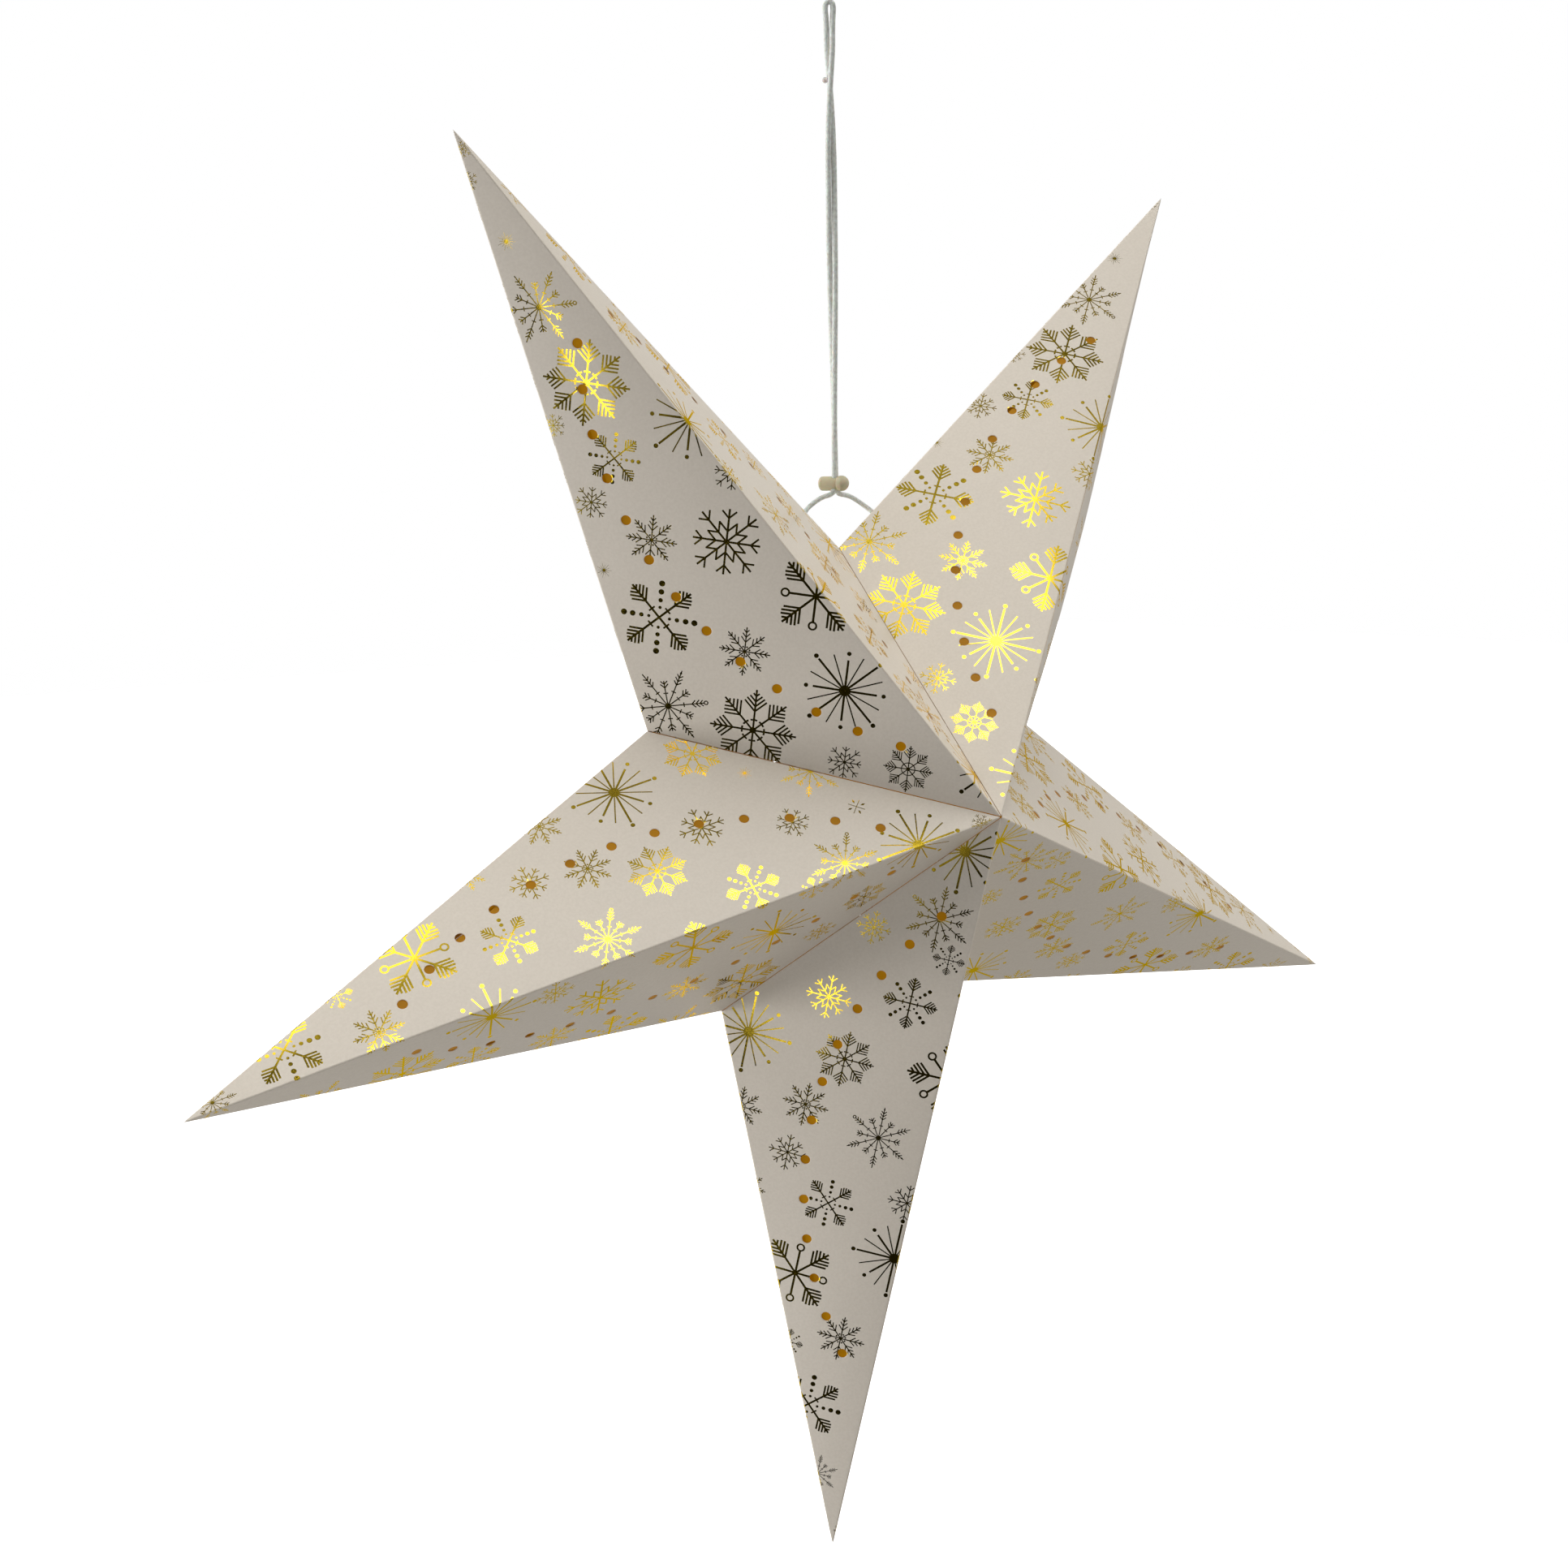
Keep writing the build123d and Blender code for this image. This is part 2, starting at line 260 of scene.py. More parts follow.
def side_lines(corners):
    """Each side of the triangle as (nx, ny, c): nx x + ny y - c is the distance inside."""
    lines = []
    for i in range(3):
        (x0, y0), (x1, y1) = corners[i], corners[(i + 1) % 3]
        length = sqrt((x1 - x0) ** 2 + (y1 - y0) ** 2)
        nx, ny = -(y1 - y0) / length, (x1 - x0) / length
        lines.append((nx, ny, nx * x0 + ny * y0))
    return lines


def inset(corners, gaps):
    """Corners of the triangle whose sides move inward: ridge, outer edge, then seam."""
    lines = [(nx, ny, c + gap) for (nx, ny, c), gap in zip(side_lines(corners), gaps)]
    points = []
    for i in range(3):
        (a, b, c), (p, q, r) = lines[i - 1], lines[i]
        det = a * q - b * p
        points.append(((c * q - b * r) / det, (a * r - c * p) / det))
    return points


def hole_points():
    """Centres of the punched holes, in the panel's plane."""
    step = 2 * ARC_HALF_SPAN / (HOLE_COUNT - 1)
    angles = [radians(-ARC_HALF_SPAN + step * i) for i in range(HOLE_COUNT)]
    return [(ARC_ALONG + ARC_RADIUS * sin(a), ARC_ACROSS + ARC_RADIUS * cos(a)) for a in angles]


def cord_hole_point(corners, distance):
    """Centre of a cord hole: along the outer crease from the notch, then in from it."""
    (tx, ty), (nx, ny) = corners[1], corners[2]
    length = sqrt((tx - nx) ** 2 + (ty - ny) ** 2)
    ux, uy = (tx - nx) / length, (ty - ny) / length
    return (nx + distance * ux + CORD_HOLE_IN * uy, ny + distance * uy - CORD_HOLE_IN * ux)


TRIANGLE = panel_frame(0, "front", "ccw")[1]
LINES = side_lines(TRIANGLE)
HEIGHTS = [max(nx * x + ny * y - c for x, y in TRIANGLE) for nx, ny, c in LINES]


def half_turns():
    """Half of the angle that the card turns through at a ridge and at an outer edge."""
    front_ccw = panel_frame(0, "front", "ccw")[0].col[2].xyz
    front_cw = panel_frame(0, "front", "cw")[0].col[2].xyz
    back_ccw = panel_frame(0, "back", "ccw")[0].col[2].xyz
    return front_ccw.angle(front_cw) / 2, front_ccw.angle(back_ccw) / 2


FOLDS = half_turns()
FOLD_STEPS = 3
SEAM_GAP = 0.2


def fold_distance(half, part):
    """Distance from the sharp crease of a point of the fold, part 0 (flat) to 1 (middle)."""
    return CREASE_RADIUS * (tan(half) - sin(half * part))


# ---- the foil print: motifs as convex polygons in a circle of radius 1 ----
def stick(start, end, width, taper=1.0):
    (x0, y0), (x1, y1) = start, end
    length = sqrt((x1 - x0) ** 2 + (y1 - y0) ** 2)
    px, py = -(y1 - y0) / length * width / 2, (x1 - x0) / length * width / 2
    return [(x0 - px, y0 - py), (x1 - px * taper, y1 - py * taper),
            (x1 + px * taper, y1 + py * taper), (x0 + px, y0 + py)]


def polar(radius, angle):
    return (radius * cos(radians(angle)), radius * sin(radians(angle)))


def spoke(angle, start, end, width, taper=1.0):
    return stick(polar(start, angle), polar(end, angle), width, taper)


def dot(centre, radius, sides=12):
    cx, cy = centre
    return [(cx + radius * cos(2 * pi * i / sides), cy + radius * sin(2 * pi * i / sides))
            for i in range(sides)]


def ring(centre, radius, width, sides=16, dash=1.0):
    """A ring as short sticks; dash is the part of each step that is printed."""
    cx, cy = centre
    pieces = []
    for i in range(sides):
        a, b = 2 * pi * (i + 0.5 - dash / 2) / sides, 2 * pi * (i + 0.5 + dash / 2) / sides
        inner, outer = radius - width / 2, radius + width / 2
        pieces.append([(cx + inner * cos(a), cy + inner * sin(a)),
                       (cx + outer * cos(a), cy + outer * sin(a)),
                       (cx + outer * cos(b), cy + outer * sin(b)),
                       (cx + inner * cos(b), cy + inner * sin(b))])
    return pieces


def barbs(angle, pairs, width, spread=45.0):
    """Pairs of barbs that leave an arm outward: (root radius, length) of each pair."""
    pieces = []
    for root, length in pairs:
        foot = polar(root, angle)
        for lean in (-spread, spread):
            dx, dy = polar(length, angle + lean)
            pieces.append(stick(foot, (foot[0] + dx, foot[1] + dy), width))
    return pieces


def crossbar(angle, radius, half, width):
    (cx, cy), (dx, dy) = polar(radius, angle), polar(half, angle + 90)
    return stick((cx - dx, cy - dy), (cx + dx, cy + dy), width)


def diamond(centre, angle, length, width):
    (cx, cy), (ux, uy), (vx, vy) = centre, polar(length, angle), polar(width, angle + 90)
    return [(cx - ux, cy - uy), (cx - vx, cy - vy), (cx + ux, cy + uy), (cx + vx, cy + vy)]


def feather_flake(solid=False):
    shapes = [dot((0, 0), 0.08)]
    for k in range(8):
        shapes.append(spoke(45 * k, 0, 1.0, 0.045))
        shapes += barbs(45 * k, ((0.47, 0.36), (0.59, 0.29), (0.71, 0.20), (0.84, 0.10)), 0.042)
    if solid:
        shapes += ring((0, 0), 0.27, 0.04, 24)
    else:
        shapes += ring((0, 0), 0.26, 0.045, 16, 0.55)
    return shapes


def burst():
    shapes = [dot((0, 0), 0.13)]
    for k in range(4):
        shapes.append(spoke(90 * k, 0, 0.92, 0.05))
        shapes.append(dot(polar(1.0, 90 * k), 0.055, 10))
        shapes.append(spoke(90 * k + 45, 0, 0.71, 0.05))
        shapes.append(dot(polar(0.86, 90 * k + 45), 0.05, 10))
    for k in range(8):
        shapes.append(spoke(45 * k + 22.5, 0, 0.86, 0.03))
    return shapes


def dotted_cross():
    shapes = []
    for k in range(4):
        shapes.append(spoke(90 * k, 0, 1.0, 0.055))
        shapes += barbs(90 * k, ((0.50, 0.34), (0.62, 0.30), (0.74, 0.22), (0.86, 0.12)), 0.05)
        shapes.append(crossbar(90 * k, 0.27, 0.09, 0.045))
        for radius, size in ((0.25, 0.04), (0.43, 0.055), (0.64, 0.07), (0.85, 0.075)):
            shapes.append(dot(polar(radius, 90 * k + 45), size))
    return shapes


def ringed_cross():
    shapes = []
    for k in range(4):
        shapes.append(spoke(90 * k, 0, 1.0, 0.055))
        shapes += barbs(90 * k, ((0.46, 0.38), (0.58, 0.34), (0.70, 0.26), (0.83, 0.14)), 0.05)
        shapes.append(spoke(90 * k + 45, 0, 0.61, 0.055))
        shapes += ring(polar(0.70, 90 * k + 45), 0.088, 0.045, 14)
    return shapes


def long_flake():
    shapes = [dot((0, 0), 0.08)]
    for k in range(6):
        end = 0.90 if k == 4 else 1.0
        shapes.append(spoke(60 * k, 0, end, 0.03))
        shapes += barbs(60 * k, ((0.60, 0.13), (0.70, 0.13), (0.80, 0.11)), 0.03)
        if k == 4:
            shapes += ring(polar(0.95, 60 * k), 0.045, 0.03, 12)
        elif k % 2:
            shapes.append(diamond(polar(0.93, 60 * k), 60 * k, 0.06, 0.03))
        shapes.append(spoke(60 * k + 30, 0, 0.65, 0.03))
        shapes += barbs(60 * k + 30, ((0.47, 0.14), (0.56, 0.12)), 0.03)
        shapes.append(crossbar(60 * k + 30, 0.33, 0.06, 0.03))
        shapes.append(crossbar(60 * k, 0.40, 0.06, 0.03))
    return shapes


def branch_flake():
    shapes = []
    for k in range(8):
        reach = 1.0 if k % 2 == 0 else 0.88
        shapes.append(spoke(45 * k, 0, reach, 0.055))
        shapes += barbs(45 * k, ((0.72 * reach, 0.27), (0.32 * reach, 0.30)), 0.05)
    return shapes


def lace_flake():
    shapes = []
    for k in range(8):
        shapes.append(spoke(45 * k, 0, 1.0, 0.05))
        shapes += barbs(45 * k, ((0.38, 0.29), (0.58, 0.22), (0.77, 0.16)), 0.045, 40.0)
        shapes.append(dot(polar(0.20, 45 * k + 22.5), 0.04, 8))
    return shapes


def tiny_burst():
    shapes = [dot((0, 0), 0.22)]
    for k in range(14):
        shapes.append(spoke(360 / 14 * k, 0, 1.0 if k % 2 else 0.75, 0.07, 0.4))
    return shapes


def four_diamonds():
    shapes = []
    for k in range(4):
        shapes.append(spoke(90 * k + 45, 0, 0.9, 0.08))
        shapes.append(diamond(polar(0.72, 90 * k), 90 * k, 0.28, 0.12))
    return shapes


MOTIFS = {"A": feather_flake(), "a": feather_flake(True), "B": burst(), "C": dotted_cross(),
          "D": ringed_cross(), "E": long_flake(), "F": branch_flake(), "G": lace_flake(),
          "t": tiny_burst(), "q": four_diamonds()}

# The print on one opened arm card: motif, place down the ridge, place across it (the
# counter-clockwise side is positive on the front), radius, and any turn in degrees.
PRINT = (
    ("A", 84, 57, 17, 0), ("A", 228, 21, 16.7, 0), ("a", 36.5, 17.5, 9.7, 0),
    ("B", 76, 17.5, 17.5, 0), ("C", 141, 57.5, 16.3, 0), ("C", 199.5, 31, 11, 0),
    ("D", 112, 3, 16.8, 0), ("E", 111, 78, 16, 0), ("E", 260.5, 17, 14.5, 0),
    ("F", 149, 17, 14.7, 0), ("F", 53, 36, 7.5, 0), ("F", 191.5, 49.5, 7, 0),
    ("G", 111, 39, 10, 0), ("G", 166.5, 40, 10, 0), ("t", 286.5, 11, 3.5, 0),
    ("t", 168, 63, 3, 0), ("F", 312, 8, 4.0, 0), ("F", 322, 2, 3.5, 20), ("F", 223, 42, 5, 10),
    ("B", 193.8, -2, 17, 0), ("F", 168.5, -2, 8, 0),
    ("B", 17.3, -10.7, 17, 0), ("E", 47, -14.5, 14, 0), ("C", 62.5, -7.5, 6.5, 0),
    ("F", 57, -39, 7, 0), ("C", 84, -18.5, 11, 0), ("F", 90, -50.5, 9.3, 0),
    ("B", 113.5, -79, 17, 0), ("A", 114, -39, 12, 0), ("G", 137.5, -50.5, 9.5, 0),
    ("F", 160, -53.5, 8, 0), ("E", 143.5, -19, 13.5, 0), ("C", 177, -33, 11.4, 45),
    ("D", 211.5, -40, 16.8, 45), ("G", 235, -16, 10, 0), ("C", 268.5, -23, 15, 45),
    ("E", 299, -13, 9, 0), ("A", 78, -84, 12, 0), ("t", 63.5, -67.5, 3, 0),
    ("E", 39.5, -58.5, 13, 0), ("q", 31, -36, 3.8, 0), ("F", -10, -10, 4.5, 0),
    ("G", 146, -76, 9, 0), ("G", 180, -67, 8, 0), ("C", 243, -36.5, 6, 0),
)
PRINT_SHIFT = {"left": (18.5, 9.5), "upper_right": (3.0, 2.2)}


def foil_polygons(shift, sign):
    """Every foil polygon near a panel, in the panel's own half with y positive."""
    polygons = []
    length, width = TRIANGLE[1][0], TRIANGLE[2][1]
    for motif, x, y, size, turn in PRINT:
        cx, cy = x + shift[0], (y + shift[1]) * sign
        if cy < -size or cx < -size or cx > length + size or cy > width + size:
            continue
        c, s = cos(radians(turn)) * size, sin(radians(turn)) * size
        for shape in MOTIFS[motif]:
            points = [(cx + c * u - s * v, cy + (s * u + c * v) * sign) for u, v in shape]
            if any(all(nx * px + ny * py < edge for px, py in points) for nx, ny, edge in LINES):
                continue
            polygons.append(points if sign > 0 else points[::-1])
    return polygons


# ---- sheets: flat layouts, then the bowed surface ----
def surface_heights(points, holes, lie, rounded=True):
    """Height over the flat panel plane at each (x, y), both arrays in millimetres.

    lie is how the panel lies: the phase of its unevenness, and its bow.
    """
    phase, bow = lie
    x, y = points[:, 0], points[:, 1]
    inside = [np.maximum(nx * x + ny * y - c, 0.0) for nx, ny, c in LINES]
    bubble = 27.0 * np.prod([d / h for d, h in zip(inside, HEIGHTS)], axis=0)
    near = np.minimum(1.0, np.minimum.reduce(inside) / 14.0)
    swell = np.sin(x / 7.1 + phase) * np.cos(y / 6.3 - 1.7 * phase)
    swell = swell + np.sin(x / 11.3 - y / 8.7 + 2.3 * phase)
    z = bow * bubble + WAVE * 0.5 * swell * near * near * (3 - 2 * near)
    if rounded:
        for half, d in zip(FOLDS, inside):
            over = np.clip(CREASE_RADIUS * tan(half) - d, 0.0, CREASE_RADIUS * sin(half))
            z = z - (CREASE_RADIUS - np.sqrt(CREASE_RADIUS ** 2 - over ** 2))
        for hx, hy, radius in holes:
            out = np.hypot(x - hx, y - hy) - radius
            roll = np.clip(1.0 - out / RIM_WIDTH, 0.0, 1.0)
            z = z - RIM_DROP * roll * roll
    return z


def surface_normals(points, holes, lie, rounded=True):
    """Unit normals of the surface, by small differences."""
    step = 0.02
    shift_x, shift_y = np.array([step, 0.0]), np.array([0.0, step])
    dx = (surface_heights(points + shift_x, holes, lie, rounded)
          - surface_heights(points - shift_x, holes, lie, rounded)) / (2 * step)
    dy = (surface_heights(points + shift_y, holes, lie, rounded)
          - surface_heights(points - shift_y, holes, lie, rounded)) / (2 * step)
    normals = np.stack([-dx, -dy, np.ones_like(dx)], axis=1)
    return normals / np.linalg.norm(normals, axis=1)[:, None]


def triangulate(outline, holes, polygons, free, lines=()):
    """Constrained triangles of a flat sheet: (points, triangles, printed flags)."""
    points = []
    faces = []
    for loop in [outline, *holes, *polygons]:
        faces.append(list(range(len(points), len(points) + len(loop))))
        points += [Vector(p) for p in loop]
    edges = []
    for start, end in lines:
        edges.append((len(points), len(points) + 1))
        points += [Vector(start), Vector(end)]
    points += [Vector(p) for p in free]
    found = delaunay_2d_cdt(points, edges, faces, 1, 1e-5, True)
    out_points, out_faces, sources = found[0], found[2], found[5]
    last_hole = len(holes)
    triangles = []
    printed = []
    for face, source in zip(out_faces, sources):
        if 0 not in source or any(1 <= s <= last_hole for s in source):
            continue
        triangles.append(tuple(face))
        printed.append(any(s > last_hole for s in source))
    return np.array([(p.x, p.y) for p in out_points]), triangles, printed


def boundary_loops(triangles):
    """Loops of vertex numbers round the sheet and round each hole."""
    directed = {(a, b) for t in triangles for a, b in zip(t, (*t[1:], t[0]))}
    follow = {a: b for a, b in directed if (b, a) not in directed}
    loops = []
    while follow:
        start = next(iter(follow))
        loop = [start]
        here = follow.pop(start)
        while here != start:
            loop.append(here)
            here = follow.pop(here)
        loops.append(loop)
    return loops


def grid_points(corners, spacing, margin):
    """Points of a staggered grid, inside a triangle by a margin."""
    lines = side_lines(corners)
    rows = int(max(p[1] for p in corners) / (spacing * 0.866)) + 1
    columns = int(max(p[0] for p in corners) / spacing) + 1
    points = []
    for j in range(rows):
        for i in range(columns):
            x, y = (i + 0.5 * (j % 2)) * spacing, j * spacing * 0.866
            if all(nx * x + ny * y - c > margin for nx, ny, c in lines):
                points.append((x, y))
    return points


def affine_between(source, target):
    """The plane map that takes one triangle's corners to another's."""
    a = np.array([[*p, 1.0] for p in source])
    return np.linalg.solve(a, np.array(target))


def build_sheet(name, flat, matrix, sign, lie, holes, inner, depths, materials, rounded):
    """Closed sheet mesh from a flat layout: bowed outer face, inner face and edge walls."""
    points, triangles, printed = flat
    top_depth, bottom_depth = depths
    loops = boundary_loops(triangles)
    spans = [np.ptp(points[loop][:, 0]) for loop in loops]
    rim = loops[int(np.argmax(spans))]
    hole_loops = [loop for loop in loops if loop is not rim]
    tops = surface_heights(points, holes, lie, rounded) - top_depth
    normals = surface_normals(points, holes, lie, rounded)

    # inner face: the same loops, the outline drawn in by the bevel, and a coarser filling
    start_corners, end_corners = inner
    to_inner = affine_between(start_corners, end_corners)
    rim_in = np.hstack([points[rim], np.ones((len(rim), 1))]) @ to_inner
    low_points = [Vector(p) for p in rim_in]
    low_faces = [list(range(len(rim)))]
    partner = {v: i for i, v in enumerate(rim)}
    for loop in hole_loops:
        low_faces.append(list(range(len(low_points), len(low_points) + len(loop))))
        for v in loop:
            partner[v] = len(low_points)
            low_points.append(Vector(points[v]))
    clear = []
    for x, y in grid_points(end_corners, 11.0, 3.0):
        if all((x - hx) ** 2 + (y - hy) ** 2 > (radius + 1.5) ** 2 for hx, hy, radius in holes):
            clear.append((x, y))
    low_points += [Vector(p) for p in clear]
    found = delaunay_2d_cdt(low_points, [], low_faces, 1, 1e-7, True)
    low_out, low_tris, origin, face_origin = found[0], found[2], found[3], found[5]
    renamed = {old: new for new, olds in enumerate(origin) for old in olds}
    low_xy = np.array([(p.x, p.y) for p in low_out])
    low_z = surface_heights(low_xy, (), lie, False) - bottom_depth
    low_kept = [tuple(t) for t, s in zip(low_tris, face_origin) if s == [0] or s == (0,)]

    count = len(points)
    flip = sign < 0
    xyz = np.vstack([np.column_stack([points, tops]), np.column_stack([low_xy, low_z])])
    xyz[:, 1] *= sign
    faces = []
    slots = []
    kinds = []
    for t, foiled in zip(triangles, printed):
        faces.append(t[::-1] if flip else t)
        slots.append(1 if foiled else 0)
        kinds.append(0)
    for t in low_kept:
        t = tuple(count + i for i in t)
        faces.append(t if flip else t[::-1])
        slots.append(0)
        kinds.append(1)
    for loop in [rim, *hole_loops]:
        for a, b in zip(loop, loop[1:] + loop[:1]):
            low_a, low_b = count + renamed[partner[a]], count + renamed[partner[b]]
            wall = (a, low_a, low_b, b)
            faces.append(wall[::-1] if flip else wall)
            slots.append(0)
            kinds.append(2)

    world = np.array(matrix)
    placed = (xyz @ world[:3, :3].T + world[:3, 3]) * MM
    mesh = bpy.data.meshes.new(name)
    mesh.from_pydata(placed.tolist(), [], faces)
    for material in materials:
        mesh.materials.append(material)
    mesh.polygons.foreach_set("material_index", slots)
    normals[:, 1] *= sign
    turned = normals @ world[:3, :3].T
    mesh.update()
    mesh.validate()
    if len(mesh.polygons) != len(faces):
        raise RuntimeError(f"{name}: the sheet has faces that Blender dropped")
    own = np.zeros(len(mesh.polygons) * 3)
    mesh.polygons.foreach_get("normal", own)
    own = own.reshape(-1, 3)
    loop_vertex = np.zeros(len(mesh.loops), dtype=np.int64)
    mesh.loops.foreach_get("vertex_index", loop_vertex)
    sizes = np.array([len(f) for f in faces])
    loop_face = np.repeat(np.arange(len(faces)), sizes)
    smooth = np.array(kinds)[loop_face] == 0
    custom = own[loop_face]
    custom[smooth] = turned[loop_vertex[smooth]]
    mesh.polygons.foreach_set("use_smooth", [True] * len(faces))
    mesh.normals_split_custom_set(custom.tolist())
    piece = bpy.data.objects.new(name, mesh)
    scene.collection.objects.link(piece)
    return piece


def circle(centre, radius, sides=24):
    cx, cy = centre
    return [(cx + radius * cos(2 * pi * i / sides), cy + radius * sin(2 * pi * i / sides))
            for i in range(sides)]


def check_print(flat):
    """Foil covers a small part of a panel; a print that fills it means a bad outline."""
    points, triangles, printed = flat
    a, b, c = (points[[t[i] for t in triangles]] for i in range(3))
    areas = np.abs((b - a)[:, 0] * (c - a)[:, 1] - (b - a)[:, 1] * (c - a)[:, 0])
    if areas[np.array(printed)].sum() > MOST_PRINT * areas.sum():
        raise RuntimeError("the foil fills a panel")


def panel_layout(shift, print_sign, holes):
    """Flat layout of one panel: its outline, folds, punched holes and foil."""
    gaps = [fold_distance(half, 1.0) for half in FOLDS] + [SEAM_GAP]
    outline = inset(TRIANGLE, gaps)
    fold_lines = []
    for part in range(FOLD_STEPS):
        share = part / FOLD_STEPS
        row = inset(TRIANGLE, [fold_distance(half, share) for half in FOLDS] + [SEAM_GAP])
        fold_lines.append((row[0], row[1]))
        fold_lines.append((row[1], row[2]))
    free = []
    for x, y in grid_points(TRIANGLE, 8.0, 2.0):
        if all((x - hx) ** 2 + (y - hy) ** 2 > (radius + 0.8) ** 2 for hx, hy, radius in holes):
            free.append((x, y))
    for hx, hy, radius in holes:
        free += circle((hx, hy), radius + RIM_WIDTH * 0.5)
        free += circle((hx, hy), radius + RIM_WIDTH)
    punched = [circle((hx, hy), radius) for hx, hy, radius in holes]
    flat = triangulate(outline, punched, foil_polygons(shift, print_sign), free, fold_lines)
    check_print(flat)
    return flat, outline


MOST_PRINT = 0.3
RIDGE_BEVEL = 2.8
EDGE_BEVEL = 0.35
CREASE_GAP = 0.15
layouts = {}


def lie_of(number, face, side):
    """How a panel lies; its film lies the same."""
    phase = 1.9 * number + 0.8 * FACES[face] + 0.5 * SIDES[side] * FACES[face]
    return phase, MORE_BOW.get((ARMS[number], face, side), BOW)


def add_panel(number, face, side, body):
    arm = ARMS[number]
    matrix, corners, sign = panel_frame(number, face, side)
    holes = [(x, y, HOLE_RADIUS) for x, y in hole_points()]
    cord_hole = CORD_HOLES.get((arm, face, side))
    if cord_hole:
        holes.append((*cord_hole_point(corners, cord_hole), HOLE_RADIUS))
    shift = PRINT_SHIFT.get(arm, (0.0, 0.0))
    key = (shift, sign, cord_hole)
    if key not in layouts:
        layouts[key] = panel_layout(shift, sign, holes)
    flat, outline = layouts[key]
    inner = inset(corners, (CREASE_GAP + RIDGE_BEVEL, CREASE_GAP + EDGE_BEVEL, SEAM_GAP))
    lie = lie_of(number, face, side)
    node = f"{arm}_arm_{face}_{side}_panel"
    piece = build_sheet(f"{arm}_{face}_{side}_card", flat, matrix, sign, lie, holes,
                        (outline, inner), (0.0, CARD), (card, foil), True)
    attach(piece, body)
    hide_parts(node)


def add_film(number, face, side, body):
    arm = ARMS[number]
    matrix, corners, sign = panel_frame(number, face, side)
    outline = inset(corners, (8.0, 15.0, 13.5))
    if "film" not in layouts:
        layouts["film"] = triangulate(outline, [], [], grid_points(outline, 8.0, 2.0))
    lie = lie_of(number, face, side)
    piece = build_sheet(f"{arm}_{face}_{side}_amber", layouts["film"], matrix, sign, lie, (),
                        (outline, outline), (CARD, CARD + FILM), (film_plastic,), False)
    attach(piece, body)
    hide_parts(f"{arm}_arm_{face}_{side}_film")


node_body = {n: b for b, names in frame["record"]["behaviour"]["bodies"].items() for n in names}
for arm_number, arm_name in enumerate(ARMS):
    for face_name in FACES:
        for side_name in SIDES:
            home = node_body[f"{arm_name}_arm_{face_name}_{side_name}_panel"]
            add_panel(arm_number, face_name, side_name, home)
            add_film(arm_number, face_name, side_name, home)
        if arm_number != 0:
            tab = frame["nodes"][f"{arm_name}_arm_{face_name}_glue_tab"]
            for material_slot in tab.material_slots:
                material_slot.material = card_tab


# ---- cord: the route's own points, as the CAD has them ----
def cord_hole_on(number, side):
    """Middle of a cord hole on the panel's outer face, and the way out of the star."""
    matrix, corners, sign = panel_frame(number, "back", side)
    x, y = cord_hole_point(corners, CORD_HOLES[(ARMS[number], "back", side)])
    return matrix @ Vector((x, sign * y, 0)), matrix.col[2].xyz


PAIR_TURN = 39.0              # degrees from +Y to the line through the strands, at the bead
PAIR_OFFSET = 1.25
KNOT_DEPTH = 9.0
LEAN_X = 0.0042               # how far the pair leans for each unit of height
LEAN_Y = -0.0033
SQUEEZED = 0.8                # each strand's offset in the bead, which holds them tight
BEAD_HEIGHT = -190.0
BARREL_RADIUS = 2.9           # the bead is a short barrel that runs into a ball
BALL_RADIUS = 3.17


def strand(z, turn, offset, which):
    """A point of one strand of the pair: which is -1 for the near one, +1 for the far."""
    a = radians(PAIR_TURN - turn)
    return Vector((LEAN_X * z + which * offset * sin(a), LEAN_Y * z + which * offset * cos(a), z))


left_hole, left_out = cord_hole_on(0, "cw")
right_hole, right_out = cord_hole_on(1, "ccw")
left_knot = left_hole - left_out * KNOT_DEPTH
PART_HEIGHT = BEAD_HEIGHT - BALL_RADIUS - 1.0      # the strands part just under the bead
LAST_STRAIGHT = PART_HEIGHT + 6.5
LEFT_BEND = Vector((-7.2, 3.2, -195.6))
RIGHT_BEND = Vector((9.2, 3.8, -195.0))
PAIR = [(-156.0, 4.0, 1.15), (-110.0, 60.0, 1.3), (-82.0, 90.0, 1.2),
        (-54.0, 118.0, 1.3), (-31.0, 180.0, 1.6), (-18.0, 235.0, 1.4), (-7.0, 262.0, 1.2)]
LOOP_TOP = (CORD / 2, 270.0, 1.9)
IN_BEAD = [(PART_HEIGHT, -18.0, SQUEEZED), (LAST_STRAIGHT, -18.0, SQUEEZED)]
left_branch = [left_knot, left_hole + left_out * 4.5, LEFT_BEND]
left_branch += [strand(*level, -1) for level in IN_BEAD]
right_branch = [strand(*level, 1) for level in reversed(IN_BEAD)]
right_branch += [RIGHT_BEND, right_hole + right_out * 5.2, right_hole + right_out * 0.5]
pair_up = [strand(*level, -1) for level in PAIR]
pair_down = [strand(*level, 1) for level in reversed(PAIR)]
loop_top = [strand(*LOOP_TOP, -1), strand(*LOOP_TOP, 1)]
route = left_branch + pair_up + loop_top + pair_down + right_branch


